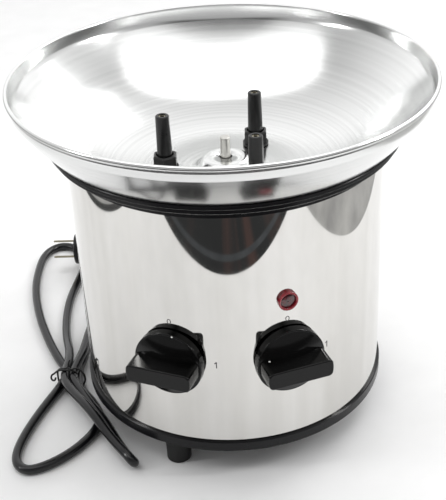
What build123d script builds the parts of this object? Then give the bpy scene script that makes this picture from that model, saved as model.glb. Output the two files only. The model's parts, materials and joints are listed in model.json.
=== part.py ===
"""Table-top cotton candy machine: a polished drum on a black base carries a wide spun bowl.

Millimetres, +Z up.  The origin is on the table under the centre of the machine,
and the two knobs face -Y.
"""
import math
import os

from build123d import *

# ---------------------------------------------------------------- driving dimensions
OVERALL_HEIGHT = 230.0
RIM_RADIUS = 130.0
DRUM_RADIUS = 98.5
SHEET = 0.8                      # drum and bowl sheet
GAP = 0.3                        # ordinary clearance between neighbouring parts

FOOT_HEIGHT = 19.0
FOOT_RADIUS = 8.2
FOOT_CIRCLE = 88.0
FOOT_RECESS = 6.0                # depth of the screw recess under a foot
FOOT_RECESS_RADIUS = 4.4
FOOT_ANGLES = {"foot_front": -114, "foot_right": 6, "foot_rear": 126}

BASE_RADIUS = 100.2
BASE_FLOOR_TOP = FOOT_HEIGHT + 3.0
BASE_BAND_TOP = 26.4
BASE_LIP_TOP = 35.0
BASE_LIP_WALL = 1.8

DRUM_BOTTOM = BASE_BAND_TOP + 0.1
DRUM_TOP = 186.0
DRUM_INSIDE = DRUM_RADIUS - SHEET

BOWL_ARC_RADIUS = 95.6           # underside of the lower side, in section
BOWL_FLAT_RADIUS = 38.0          # where that arc leaves the flat floor
BOWL_UNDERSIDE = 165.7
BOWL_FLOOR = BOWL_UNDERSIDE + SHEET
BOWL_SIDE_ANGLE = 48.0           # how far round the arc the lower side runs, in degrees
BOWL_BAND = (128.3, 221.4)       # radius and height where the near-upright rim band starts
BOWL_BULGE = 0.45                # the upper side bows out this far from a straight cone
RIM_BEAD = 1.5
BOSS_HEIGHT = 7.5                # raised middle of the floor, round the spindle
BOSS_TOP_RADIUS = 12.0
BOSS_FOOT_RADIUS = 22.0
BOSS_HOLE = 4.2

RING_TOP = 196.9
RING_STEP = 194.0
RING_BOTTOM = 190.4
RING_SKIRT_BOTTOM = 185.0
RING_WALL = 1.8                  # the skirt that laps over the drum

POST_CIRCLE = 38.0
POST_ANGLES = (180, 60, -60)
POST_TOP = 202.7
POST_TOP_RADIUS = 4.3
POST_FOOT_RADIUS = 4.9
COLLAR_BOTTOM = BOWL_FLOOR + 0.5
COLLAR_TOP = COLLAR_BOTTOM + 9.6
COLLAR_FLATS = 14.0
COLLAR_FLANGE = 8.3              # radius of the washer under the collar
STUD_RADIUS = 2.0
SOCKET_RADIUS = 2.4              # brass socket sunk in the top of each post
SOCKET_BORE = 1.3
SOCKET_DEPTH = 9.0

DECK_BOTTOM = 140.0
DECK_TOP = 142.0
DECK_RADIUS = 88.0
DECK_BORE = 12.0                 # hole round the spindle
VENT_RADIUS = 9.0
VENT_CIRCLE = 62.0
VENT_ANGLES = (30, 150, 270)
LEG_ANGLES = (-30, 90, 210)
LEG_WIDTH = 18.0
LEG_SHEET = 1.5
LEG_OUTSIDE = 87.0
LEG_FLANGE = 15.0
SCREW_RADIUS = 2.0
SCREW_HOLE = SCREW_RADIUS + 0.2
SCREW_HEAD_RADIUS = 3.8
SCREW_HEAD_HEIGHT = 2.2
NUT_FLATS = 7.0
NUT_HEIGHT = 3.2
SCREW_END = 27.5                 # screws in the base reach this height

SPINDLE_RADIUS = 4.0
SPINDLE_TOP = 187.5
SPINDLE_END_RADIUS = 3.175       # the free end that takes the spinning head
SPINDLE_SHOULDER = 172.0
SPINDLE_BOTTOM = 60.0
BEARING_RADIUS = 8.0
BEARING_HEIGHT = 6.0
RUNNING_GAP = 0.05
MOTOR_RADIUS = 36.0
POLES = 6
POLE_WIDTH = 9.0
YOKE_INSIDE = 27.0
COIL_HEIGHT = 5.0
BOSS_RADIUS = 11.0
PILLAR_RADIUS = 4.5
PLATE_VENT_RADIUS = 4.0
PLATE_VENT_CIRCLE = 20.0
STATOR_BOTTOM = 92.0
STATOR_TOP = 114.0
ROTOR_RADIUS = 19.4
AIR_GAP = 0.5
BOLT_CIRCLE = 31.0
BOLT_ANGLES = (0, 120, 240)
LOWER_PLATE = 81.0
UPPER_PLATE = 122.0
PLATE_THICKNESS = 3.0
LOWER_BOSS = (76.0, 89.0)        # bottom and top of each bearing boss
UPPER_BOSS = (117.0, 130.0)
SLINGER = (150.0, 153.0)
SLINGER_RADIUS = 9.0
FAN_RADIUS = 30.0
FAN_BLADES = 8
FAN_PITCH = 35.0
FAN_HUB_RADIUS = 7.0
FAN_HUB_HEIGHT = 10.0

KNOB_HEIGHT = 86.0
KNOB_ANGLES = {"motor": -110.6, "heat": -69.4}
KNOB_SKIRT_RADIUS = 21.5
KNOB_BACK = DRUM_RADIUS + 0.9
KNOB_SKIRT_FRONT = DRUM_RADIUS + 6.0
KNOB_FRONT = DRUM_RADIUS + 21.5
GRIP_THICKNESS = 11.5
GRIP_REACH = 20.4                # half the length of the grip bar
DOME_HEIGHT = 4.6                # the knob's face swells this far between skirt and grip
SWITCH_SIZE = 28.0
SWITCH_BACK = 75.0
SWITCH_FRONT = 95.0
BUSH_RADIUS = 4.5
SWITCH_SPINDLE = 3.0

LAMP_HEIGHT = 125.7
LAMP_RADIUS = 6.2
LAMP_BODY = 4.8

GLAND_ANGLE = 115.0
GLAND_HEIGHT = 44.0
GLAND_REACH = 20.2               # strain relief outside the drum
CORD_RADIUS = 3.15

KNOT_START = (-112.5, 24.0)      # the tied bundle, where the four strands lie two on two
KNOT_HEADING = (-3.5, -20.0)
KNOT_LENGTH = 38.0
KNOT_WIDTH = 12.8
KNOT_BOTTOM = 1.2
KNOT_TOP = 13.8
TIE_AT = 28.0                    # along the bundle from its start
TIE_THICKNESS = 1.2

PLUG_FACE = (-131.5, 155.0, 19.5)
PLUG_ROLL = 28.0                 # lean of one blade behind the other, in degrees
PLUG_RADIUS = 12.5
PLUG_LENGTH = 38.0
PLUG_TAIL = 10.0                 # moulded sleeve behind the plug
BLADE_SPACING = 12.7
BLADE_LENGTH = 17.0
BLADE_WIDTH = 6.3
BLADE_THICKNESS = 1.5

UP = (Align.CENTER, Align.CENTER, Align.MIN)


# ---------------------------------------------------------------- small helpers
def polar(radius, angle):
    """A point on a circle round the machine's axis."""
    return radius * math.cos(math.radians(angle)), radius * math.sin(math.radians(angle))


def rod(radius, bottom, top, at=(0, 0)):
    """A vertical cylinder."""
    return Pos(at[0], at[1], bottom) * Cylinder(radius, top - bottom, align=UP)


def sleeve(outer, inner, bottom, top, at=(0, 0)):
    """A vertical tube."""
    return rod(outer, bottom, top, at) - rod(inner, bottom, top, at)


def hexagon(flats, bottom, top, at=(0, 0)):
    """A vertical hexagonal bar, measured across its flats."""
    outline = RegularPolygon(flats / 2, 6, major_radius=False)
    return Pos(at[0], at[1], bottom) * extrude(outline, top - bottom)


def block(low, high):
    """A box between two corners."""
    size = [b - a for a, b in zip(low, high)]
    return Pos(*low) * Box(*size, align=(Align.MIN, Align.MIN, Align.MIN))


def section(*points):
    """A turned solid whose section has straight sides."""
    return revolve(make_face(Polyline(*[(r, 0, z) for r, z in points], close=True)), Axis.Z)


def on_drum(angle, height):
    """Frame on the machine's axis: Z runs out through the drum, X round it, Y up."""
    outward = Vector(*polar(1, angle), 0)
    around = Vector(*polar(1, angle + 90), 0)
    return Plane(origin=(0, 0, height), x_dir=around, z_dir=outward).location


def group(parts):
    """Several separate solids in one node."""
    solids = [solid for part in parts for solid in part.solids()]
    return Compound(solids)


# ---------------------------------------------------------------- base and feet
def make_base_pan():
    lip = DRUM_INSIDE - GAP
    pan = section(
        (0, FOOT_HEIGHT), (BASE_RADIUS - 0.8, FOOT_HEIGHT), (BASE_RADIUS, FOOT_HEIGHT + 0.8),
        (BASE_RADIUS, BASE_BAND_TOP - 0.6), (BASE_RADIUS - 0.6, BASE_BAND_TOP),
        (lip, BASE_BAND_TOP), (lip, BASE_LIP_TOP), (lip - BASE_LIP_WALL, BASE_LIP_TOP),
        (lip - BASE_LIP_WALL, BASE_FLOOR_TOP), (0, BASE_FLOOR_TOP),
    )
    slot_rings = ((15, 38, 12), (46, 68, 24))
    for inner, outer, count in slot_rings:
        slot = block((inner, -1.5, FOOT_HEIGHT - 1), (outer, 1.5, BASE_FLOOR_TOP + 1))
        for step in range(count):
            pan -= Rot(0, 0, 360 * (step + 0.5) / count) * slot
    for angle in FOOT_ANGLES.values():
        pan -= rod(SCREW_HOLE, FOOT_HEIGHT - 1, BASE_FLOOR_TOP + 1, polar(FOOT_CIRCLE, angle))
    for angle in LEG_ANGLES:
        hole = polar(LEG_OUTSIDE - LEG_FLANGE / 2, angle)
        pan -= rod(SCREW_HOLE, FOOT_HEIGHT - 1, BASE_FLOOR_TOP + 1, hole)
    return pan


def make_foot(angle):
    foot = section(
        (SCREW_HOLE, FOOT_RECESS), (FOOT_RECESS_RADIUS, FOOT_RECESS), (FOOT_RECESS_RADIUS, 0), (FOOT_RADIUS - 1.0, 0), (FOOT_RADIUS - 0.4, 0.6),
        (FOOT_RADIUS, FOOT_HEIGHT), (SCREW_HOLE, FOOT_HEIGHT),
    )
    return Pos(*polar(FOOT_CIRCLE, angle), 0) * foot


def make_foot_screws():
    parts = []
    for angle in FOOT_ANGLES.values():
        at = polar(FOOT_CIRCLE, angle)
        head = rod(SCREW_HEAD_RADIUS, FOOT_RECESS - SCREW_HEAD_HEIGHT, FOOT_RECESS, at)
        parts.append(head + rod(SCREW_RADIUS, FOOT_RECESS, SCREW_END, at))
        nut = hexagon(NUT_FLATS, BASE_FLOOR_TOP, BASE_FLOOR_TOP + NUT_HEIGHT, at)
        parts.append(nut - rod(SCREW_RADIUS, BASE_FLOOR_TOP, BASE_FLOOR_TOP + NUT_HEIGHT, at))
    return group(parts)


# ---------------------------------------------------------------- drum and trim ring
def make_drum():
    drum = sleeve(DRUM_RADIUS, DRUM_INSIDE, DRUM_BOTTOM, DRUM_TOP)
    for angle in KNOB_ANGLES.values():
        drum -= on_drum(angle, KNOB_HEIGHT) * rod(BUSH_RADIUS + 0.3, 90, 110)
    drum -= on_drum(KNOB_ANGLES["heat"], LAMP_HEIGHT) * rod(LAMP_BODY + 0.2, 90, 110)
    drum -= on_drum(GLAND_ANGLE, GLAND_HEIGHT) * rod(6.3, 90, 110)
    return drum


def make_top_ring():
    """Black two-step trim that sits on the drum and cups the bowl."""
    centre_z = BOWL_UNDERSIDE + BOWL_ARC_RADIUS
    cup = BOWL_ARC_RADIUS + GAP
    shelf = DRUM_TOP + GAP

    def on_cup(z):
        return BOWL_FLAT_RADIUS + math.sqrt(cup ** 2 - (centre_z - z) ** 2)

    low = (on_cup(shelf + 0.6), shelf + 0.6)
    high = (on_cup(RING_TOP), RING_TOP)
    middle_z = (low[1] + high[1]) / 2
    middle = (on_cup(middle_z), middle_z)
    skirt = DRUM_RADIUS + GAP
    outline = [
        high, (109.4, RING_TOP - 0.5), (109.4, RING_STEP + 0.8), (108.8, RING_STEP + 0.2),
        (106.8, RING_STEP), (107.1, RING_STEP - 0.6), (107.1, RING_BOTTOM + 0.6), (106.5, RING_BOTTOM),
        (skirt + 5.1, RING_BOTTOM), (skirt + RING_WALL, RING_BOTTOM - 3.2),
        (skirt + RING_WALL, RING_SKIRT_BOTTOM), (skirt, RING_SKIRT_BOTTOM),
        (skirt, shelf), (low[0], shelf), low,
    ]
    sides = Polyline(*[(r, 0, z) for r, z in outline])
    inside = ThreePointArc(*[(r, 0, z) for r, z in (low, middle, high)])
    return revolve(make_face(Wire([*sides.edges(), inside])), Axis.Z)


# ---------------------------------------------------------------- bowl
def bowl_arc(radius, start, end):
    """Part of the bowl's side in section, from one angle round its arc to another."""
    centre_z = BOWL_UNDERSIDE + BOWL_ARC_RADIUS
    points = []
    for angle in (start, (start + end) / 2, end):
        turn = math.radians(angle)
        points.append((BOWL_FLAT_RADIUS + radius * math.sin(turn), 0, centre_z - radius * math.cos(turn)))
    return ThreePointArc(*points), points[0], points[2]


def bulged(start, end, bulge):
    """A slightly bowed line in the XZ plane."""
    chord = Vector(*end) - Vector(*start)
    outward = Vector(chord.Z, 0, -chord.X).normalized()
    middle = (Vector(*start) + Vector(*end)) / 2 + outward * bulge
    return ThreePointArc(start, middle, end)


def make_bowl():
    outside, _, outer_knee = bowl_arc(BOWL_ARC_RADIUS, 0, BOWL_SIDE_ANGLE)
    inside, inner_knee, _ = bowl_arc(BOWL_ARC_RADIUS - SHEET, BOWL_SIDE_ANGLE, 0)
    bead = (RIM_RADIUS - RIM_BEAD, OVERALL_HEIGHT - RIM_BEAD)
    outer_band = (BOWL_BAND[0], 0, BOWL_BAND[1])
    inner_band = (BOWL_BAND[0] - SHEET, 0, BOWL_BAND[1] + 0.4)
    boss_top = BOWL_FLOOR + BOSS_HEIGHT
    crown = Polyline(
        (BOWL_FLAT_RADIUS, 0, BOWL_FLOOR), (BOSS_FOOT_RADIUS + 0.4, 0, BOWL_FLOOR),
        (BOSS_TOP_RADIUS + 2.6, 0, boss_top - 1.2), (BOSS_TOP_RADIUS, 0, boss_top),
        (BOSS_HOLE, 0, boss_top), (BOSS_HOLE, 0, boss_top - SHEET),
        (BOSS_TOP_RADIUS - 0.4, 0, boss_top - SHEET), (BOSS_TOP_RADIUS + 1.9, 0, boss_top - 1.9),
        (BOSS_FOOT_RADIUS, 0, BOWL_UNDERSIDE), (BOWL_FLAT_RADIUS, 0, BOWL_UNDERSIDE),
    )
    upper_outside = bulged(outer_knee, outer_band, BOWL_BULGE)
    band = Polyline(outer_band, (bead[0] + 0.5, 0, bead[1]), (bead[0] - 0.3, 0, bead[1]), inner_band)
    upper_inside = bulged(inner_band, inner_knee, -BOWL_BULGE)
    outline = [*crown.edges(), outside, upper_outside, *band.edges(), upper_inside, inside]
    bowl = revolve(make_face(Wire(outline)), Axis.Z)
    bowl += Pos(0, 0, bead[1]) * Torus(bead[0], RIM_BEAD)
    for angle in POST_ANGLES:
        bowl -= rod(STUD_RADIUS + 0.6, BOWL_UNDERSIDE - 2, BOWL_FLOOR + 3, polar(POST_CIRCLE, angle))
    return bowl


# ---------------------------------------------------------------- heater posts
def make_post(angle):
    bottom = COLLAR_BOTTOM + 3.2
    body = section(
        (0, bottom), (POST_FOOT_RADIUS, bottom), (POST_TOP_RADIUS, POST_TOP - 0.5),
        (POST_TOP_RADIUS - 0.5, POST_TOP), (0, POST_TOP),
    )
    body -= rod(STUD_RADIUS + 0.05, COLLAR_BOTTOM, POST_TOP - 12)
    body -= rod(SOCKET_RADIUS, POST_TOP - SOCKET_DEPTH, POST_TOP)
    return Pos(*polar(POST_CIRCLE, angle), 0) * body


def make_collar(angle):
    collar = hexagon(COLLAR_FLATS, COLLAR_BOTTOM, COLLAR_TOP)
    collar = chamfer(collar.edges().group_by(Axis.Z)[-1], 0.8)
    collar += rod(COLLAR_FLANGE, COLLAR_BOTTOM, COLLAR_BOTTOM + 1.4)
    collar -= rod(POST_FOOT_RADIUS + 0.7, COLLAR_BOTTOM + 3, COLLAR_TOP)
    collar -= rod(STUD_RADIUS + 0.1, COLLAR_BOTTOM, COLLAR_BOTTOM + 3)
    return Pos(*polar(POST_CIRCLE, angle), 0) * Rot(0, 0, 30) * collar


def make_post_terminals():
    """Brass sockets sunk in the tops of the posts."""
    parts = []
    for angle in POST_ANGLES:
        parts.append(sleeve(SOCKET_RADIUS, SOCKET_BORE, POST_TOP - SOCKET_DEPTH, POST_TOP - 0.6, polar(POST_CIRCLE, angle)))
    return group(parts)


def make_post_studs():
    parts = []
    for angle in POST_ANGLES:
        parts.append(rod(STUD_RADIUS, DECK_BOTTOM - 6, POST_TOP - 14, polar(POST_CIRCLE, angle)))
    return group(parts)


def make_deck_nuts():
    parts = []
    for angle in POST_ANGLES:
        at = polar(POST_CIRCLE, angle)
        nut = hexagon(NUT_FLATS, DECK_BOTTOM - NUT_HEIGHT, DECK_BOTTOM, at)
        parts.append(nut - rod(STUD_RADIUS, DECK_BOTTOM - NUT_HEIGHT, DECK_BOTTOM, at))
    return group(parts)


def make_bowl_spacers():
    parts = []
    for angle in POST_ANGLES:
        at = polar(POST_CIRCLE, angle)
        parts.append(sleeve(4.5, STUD_RADIUS + 0.1, DECK_TOP, BOWL_UNDERSIDE - 0.1, at))
    return group(parts)


# ---------------------------------------------------------------- chassis
def make_deck():
    deck = rod(DECK_RADIUS, DECK_BOTTOM, DECK_TOP) - rod(DECK_BORE, DECK_BOTTOM, DECK_TOP)
    for angle in POST_ANGLES:
        deck -= rod(STUD_RADIUS + 0.2, DECK_BOTTOM, DECK_TOP, polar(POST_CIRCLE, angle))
    for angle in BOLT_ANGLES:
        deck -= rod(SCREW_HOLE, DECK_BOTTOM, DECK_TOP, polar(BOLT_CIRCLE, angle))
    for angle in LEG_ANGLES:
        deck -= rod(SCREW_HOLE, DECK_BOTTOM, DECK_TOP, polar(LEG_OUTSIDE - LEG_FLANGE / 2, angle))
    for angle in VENT_ANGLES:
        deck -= rod(VENT_RADIUS, DECK_BOTTOM, DECK_TOP, polar(VENT_CIRCLE, angle))
    return deck


def make_leg(angle):
    """Folded steel strip that carries the deck on the base."""
    inner = LEG_OUTSIDE - LEG_FLANGE
    half = LEG_WIDTH / 2
    leg = block((LEG_OUTSIDE - LEG_SHEET, -half, BASE_FLOOR_TOP), (LEG_OUTSIDE, half, DECK_BOTTOM))
    for bottom in (BASE_FLOOR_TOP, DECK_BOTTOM - LEG_SHEET):
        flange = block((inner, -half, bottom), (LEG_OUTSIDE, half, bottom + LEG_SHEET))
        leg += flange - rod(SCREW_HOLE, bottom, bottom + LEG_SHEET, (inner + LEG_FLANGE / 2, 0))
    return Rot(0, 0, angle) * leg


def make_leg_screws():
    parts = []
    for angle in LEG_ANGLES:
        at = polar(LEG_OUTSIDE - LEG_FLANGE / 2, angle)
        low_head = rod(SCREW_HEAD_RADIUS, FOOT_HEIGHT - SCREW_HEAD_HEIGHT, FOOT_HEIGHT, at)
        parts.append(low_head + rod(SCREW_RADIUS, FOOT_HEIGHT, SCREW_END, at))
        high_head = rod(SCREW_HEAD_RADIUS, DECK_TOP, DECK_TOP + SCREW_HEAD_HEIGHT, at)
        parts.append(high_head + rod(SCREW_RADIUS, DECK_BOTTOM - 6, DECK_TOP, at))
    return group(parts)


# ---------------------------------------------------------------- motor
def make_stator():
    """Lamination stack with six poles."""
    stack = rod(MOTOR_RADIUS, STATOR_BOTTOM, STATOR_TOP) - rod(YOKE_INSIDE, STATOR_BOTTOM, STATOR_TOP)
    half = POLE_WIDTH / 2
    pole = block((ROTOR_RADIUS + AIR_GAP + 1, -half, STATOR_BOTTOM), (YOKE_INSIDE + 2, half, STATOR_TOP))
    for step in range(POLES):
        stack += Rot(0, 0, 360 * (step + 0.5) / POLES) * pole
    stack -= rod(ROTOR_RADIUS + AIR_GAP, STATOR_BOTTOM, STATOR_TOP)
    for angle in BOLT_ANGLES:
        stack -= rod(SCREW_HOLE, STATOR_BOTTOM, STATOR_TOP, polar(BOLT_CIRCLE, angle))
    return stack


def make_coils():
    """Varnished end turns above and below the stack."""
    parts = []
    for bottom in (STATOR_BOTTOM - COIL_HEIGHT - 0.2, STATOR_TOP + 0.2):
        ring = sleeve(YOKE_INSIDE - 1, ROTOR_RADIUS + 1.2, bottom, bottom + COIL_HEIGHT)
        parts.append(fillet(ring.edges(), 1.6))
    return group(parts)


def make_motor_plate(plate_bottom, boss_bottom, boss_top, pillar_bottom, pillar_top):
    """End plate of the motor: bearing boss in the middle, pillars to the stack."""
    plate = rod(MOTOR_RADIUS, plate_bottom, plate_bottom + PLATE_THICKNESS)
    for step in range(POLES):
        at = polar(PLATE_VENT_CIRCLE, 360 * (step + 0.5) / POLES)
        plate -= rod(PLATE_VENT_RADIUS, plate_bottom, plate_bottom + PLATE_THICKNESS, at)
    plate += rod(BOSS_RADIUS, boss_bottom, boss_top)
    for angle in BOLT_ANGLES:
        at = polar(BOLT_CIRCLE, angle)
        plate += rod(PILLAR_RADIUS, pillar_bottom, pillar_top, at)
        plate -= rod(SCREW_HOLE, boss_bottom, boss_top + 20, at)
        plate -= rod(SCREW_HOLE, pillar_bottom - 5, pillar_top + 5, at)
    return plate - rod(BEARING_RADIUS, boss_bottom, boss_top)


def make_motor_bolts():
    parts = []
    for angle in BOLT_ANGLES:
        at = polar(BOLT_CIRCLE, angle)
        head = rod(SCREW_HEAD_RADIUS, LOWER_PLATE - 3, LOWER_PLATE, at)
        parts.append(head + rod(SCREW_RADIUS, LOWER_PLATE, DECK_TOP + 5, at))
        nut = hexagon(NUT_FLATS, DECK_TOP, DECK_TOP + NUT_HEIGHT, at)
        parts.append(nut - rod(SCREW_RADIUS, DECK_TOP, DECK_TOP + NUT_HEIGHT, at))
    return group(parts)


def make_motor_mounts():
    """Rubber bushes between the motor and the deck."""
    parts = []
    for angle in BOLT_ANGLES:
        at = polar(BOLT_CIRCLE, angle)
        parts.append(sleeve(4.2, SCREW_RADIUS + 0.1, UPPER_PLATE + PLATE_THICKNESS, DECK_BOTTOM, at))
    return group(parts)


def make_spindle():
    end = rod(SPINDLE_END_RADIUS, SPINDLE_SHOULDER, SPINDLE_TOP)
    end = chamfer(end.edges().group_by(Axis.Z)[-1], 0.5)
    return rod(SPINDLE_RADIUS, SPINDLE_BOTTOM, SPINDLE_SHOULDER) + end


def make_bearing(bottom):
    return sleeve(BEARING_RADIUS, SPINDLE_RADIUS + RUNNING_GAP, bottom, bottom + BEARING_HEIGHT)


def make_fan():
    hub_bottom = SPINDLE_BOTTOM + 1
    hub_top = hub_bottom + FAN_HUB_HEIGHT
    fan = rod(FAN_HUB_RADIUS, hub_bottom, hub_top)
    middle = (hub_bottom + hub_top) / 2
    blade = Pos(0, 0, middle) * Rot(FAN_PITCH, 0, 0) * block((5, -0.7, -5.5), (FAN_RADIUS, 0.7, 5.5))
    for step in range(FAN_BLADES):
        fan += Rot(0, 0, 360 * step / FAN_BLADES) * blade
    return fan - rod(SPINDLE_RADIUS, hub_bottom - 5, hub_top + 5)


# ---------------------------------------------------------------- switches and knobs
def make_switch(angle):
    half = SWITCH_SIZE / 2
    switch = block((-half, -half, SWITCH_BACK), (half, half, SWITCH_FRONT))
    switch += rod(BUSH_RADIUS, SWITCH_FRONT, DRUM_RADIUS + 2.6)
    switch -= rod(SWITCH_SPINDLE + RUNNING_GAP, SWITCH_BACK + 8, DRUM_RADIUS + 2.6)
    for x in (-8, 0, 8):
        switch += block((x - 2.4, -0.4, SWITCH_BACK - 8), (x + 2.4, 0.4, SWITCH_BACK))
    return on_drum(angle, KNOB_HEIGHT) * switch


def make_switch_nuts():
    parts = []
    for angle in KNOB_ANGLES.values():
        nut = hexagon(12.0, DRUM_RADIUS + 0.1, DRUM_RADIUS + 2.3)
        nut -= rod(BUSH_RADIUS, DRUM_RADIUS + 0.1, DRUM_RADIUS + 2.3)
        parts.append(on_drum(angle, KNOB_HEIGHT) * nut)
    return group(parts)


def d_bar(radius, flat, bottom, top):
    """A round bar with one flat along it."""
    keep = block((-10, -10, bottom), (10, flat, top))
    return rod(radius, bottom, top) & keep


def make_switch_spindle(angle):
    flat_start = KNOB_SKIRT_FRONT - 3.3
    spindle = rod(SWITCH_SPINDLE, SWITCH_BACK + 8.3, flat_start)
    spindle += d_bar(SWITCH_SPINDLE, 1.7, flat_start, KNOB_FRONT - 8)
    return on_drum(angle, KNOB_HEIGHT) * spindle


def make_knob(angle):
    """Hollow-backed skirt with a domed face and a grip bar right across it."""
    half = GRIP_THICKNESS / 2
    grip = block((-KNOB_SKIRT_RADIUS, -half, KNOB_SKIRT_FRONT - 1), (KNOB_SKIRT_RADIUS, half, KNOB_FRONT))
    grip &= rod(GRIP_REACH, KNOB_SKIRT_FRONT - 1, KNOB_FRONT)
    grip = fillet(grip.edges().filter_by(Axis.Z), 3.0)
    grip = fillet(grip.edges().group_by(Axis.Z)[-1], 0.9)
    skirt = rod(KNOB_SKIRT_RADIUS, KNOB_BACK, KNOB_SKIRT_FRONT)
    skirt = fillet(skirt.edges().group_by(Axis.Z)[-1], 0.8)
    dome_edge = KNOB_SKIRT_RADIUS - 1.0
    dome_radius = (dome_edge ** 2 + DOME_HEIGHT ** 2) / (2 * DOME_HEIGHT)
    dome = Pos(0, 0, KNOB_SKIRT_FRONT + DOME_HEIGHT - dome_radius) * Sphere(dome_radius)
    dome &= rod(dome_edge, KNOB_SKIRT_FRONT - 0.5, KNOB_FRONT)
    knob = skirt + dome + grip
    knob -= rod(KNOB_SKIRT_RADIUS - 2.5, KNOB_BACK, KNOB_SKIRT_FRONT - 2.2)
    knob -= d_bar(SWITCH_SPINDLE + RUNNING_GAP, 1.75, KNOB_SKIRT_FRONT - 3, KNOB_FRONT - 7.5)
    return on_drum(angle, KNOB_HEIGHT) * knob


# ---------------------------------------------------------------- pilot lamp
def lamp_place():
    return on_drum(KNOB_ANGLES["heat"], LAMP_HEIGHT)


def make_lamp_bezel():
    back = DRUM_RADIUS + 0.1
    bezel = sleeve(LAMP_RADIUS, LAMP_BODY, back, back + 2.4)
    return lamp_place() * fillet(bezel.edges().group_by(Axis.Z)[-1], 0.6)


def make_lamp_lens():
    """Slightly domed lens set just below the rim of its bezel."""
    back = DRUM_RADIUS + 0.1
    radius = LAMP_BODY - 0.05
    face = back + 1.6
    dome = Pos(0, 0, face - 20) * Sphere(20)
    return lamp_place() * (rod(radius, back, face) & dome)


def make_lamp_body():
    body = rod(LAMP_BODY, 80, DRUM_RADIUS + 0.1)
    for x in (-2.2, 2.2):
        body += block((x - 0.4, -1.6, 73), (x + 0.4, 1.6, 80))
    return lamp_place() * body


def make_lamp_nut():
    nut = hexagon(13.0, DRUM_INSIDE - 3.1, DRUM_INSIDE - 0.5)
    return lamp_place() * (nut - rod(LAMP_BODY, 90, DRUM_RADIUS))


# ---------------------------------------------------------------- electrical parts inside
def make_terminal_block():
    body = block((-20, 52, BASE_FLOOR_TOP), (20, 66, BASE_FLOOR_TOP + 12))
    for step in range(4):
        body -= rod(2.0, BASE_FLOOR_TOP + 4, BASE_FLOOR_TOP + 12, (-15 + 10 * step, 59))
    return body


def make_thermal_cutout():
    at = polar(60, 0)
    body = rod(8, DECK_BOTTOM - 6, DECK_BOTTOM, at) + rod(5, DECK_BOTTOM - 9, DECK_BOTTOM - 6, at)
    for y in (-3, 3):
        body += block((at[0] - 0.4, y - 2, DECK_BOTTOM - 15), (at[0] + 0.4, y + 2, DECK_BOTTOM - 8.5))
    return body


def wire(points, radius):
    """A soft wire: straight runs joined by arcs as large as the runs allow."""
    path = FilletPolyline(*points, radius=corner_radii(points))
    start = Plane(origin=path @ 0, z_dir=path % 0)
    return sweep(start * Circle(radius), path=path)


def corner_radii(points):
    """One arc radius for each corner: 0.45 of the shorter run over the tangent of half the turn."""
    radii = []
    for before, corner, after in zip(points, points[1:], points[2:]):
        into = Vector(*corner) - Vector(*before)
        away = Vector(*after) - Vector(*corner)
        half_turn = math.radians(into.get_angle(away)) / 2
        radii.append(0.45 * min(into.length, away.length) / math.tan(half_turn))
    return radii


def make_harness(name):
    """Wires from one switch down to the terminal block."""
    angle = KNOB_ANGLES[name]
    side = -1 if name == "motor" else 1
    start = polar(SWITCH_BACK - 8.8, angle)
    inward = polar(SWITCH_BACK - 16, angle)
    points = [
        (*start, KNOB_HEIGHT), (*inward, KNOB_HEIGHT - 6), (side * 47, -42, 46), (side * 54, 0, 33),
        (side * 36, 44, 30), (side * 21.4, 59, 29),
    ]
    return wire(points, 1.5)


def make_mains_lead():
    """Cord inside the drum, from the gland to the terminal block."""
    start = polar(DRUM_INSIDE - 12.6, GLAND_ANGLE)
    points = [(*start, GLAND_HEIGHT), (-30, 64.3, 42), (-9, 59.6, 42), (-5, 59, BASE_FLOOR_TOP + 13)]
    return wire(points, 2.2)


# ---------------------------------------------------------------- cord
# The cord drops from the strain relief behind the drum and runs forward to a tied hank on
# the table: a short fold and a long loop in front of the tie, one long loop behind it.
# From the tie the last stretch runs back under the first and turns round into the plug.
LEAD_TO_TIE = [
    (-56.5, 121.2, 44.0), (-69.0, 132.0, 36.0), (-84.0, 131.0, 25.0), (-96.0, 120.0, 16.5),
    (-102.5, 104.0, 12.2), (-105.5, 85.0, 10.2), (-107.0, 64.0, 9.9), (-109.0, 44.0, 10.65),
]
BACK_LOOP = [
    (-121.0, 22.0), (-128.0, 49.0), (-131.0, 75.0), (-131.0, 103.0), (-128.0, 129.0),
    (-125.0, 152.0), (-127.0, 172.0), (-138.0, 185.5), (-152.0, 188.0), (-161.5, 174.0),
    (-163.0, 145.0), (-160.5, 117.0), (-152.0, 82.0), (-140.0, 49.0), (-126.0, 20.0),
]
FRONT_FOLD = [
    (-116.0, -12.0), (-105.0, -31.0), (-93.5, -51.0), (-82.0, -68.0), (-71.5, -82.0),
    (-66.0, -89.0), (-71.0, -91.5), (-78.0, -84.0), (-89.0, -69.0), (-101.0, -50.0),
    (-113.0, -30.0), (-121.0, -12.0),
]
FRONT_LOOP = [
    (-122.0, -10.0), (-130.5, -30.0), (-138.0, -55.0), (-141.0, -75.0), (-139.5, -88.0),
    (-133.0, -94.0), (-124.0, -92.5), (-112.0, -85.0), (-101.0, -73.0), (-92.7, -58.5),
    (-90.0, -46.0), (-97.0, -30.0), (-112.0, -10.0),
]
LEAD_TO_PLUG = [
    (-109.0, 44.0, 4.35), (-107.0, 64.0, 3.4), (-105.0, 84.0, 3.25), (-99.0, 101.0, 3.2),
    (-86.0, 112.5, 3.25), (-68.0, 114.5, 3.2), (-49.0, 113.5, 3.25), (-31.0, 117.5, 3.2),
    (-19.0, 130.5, 3.3), (-20.0, 148.0, 4.0), (-33.5, 159.0, 7.0), (-50.5, 158.0, 12.5),
    (-68.0, 155.0, 19.5),
]
STRAND = 2 * CORD_RADIUS + 0.2   # height of one layer of the hank


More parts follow.
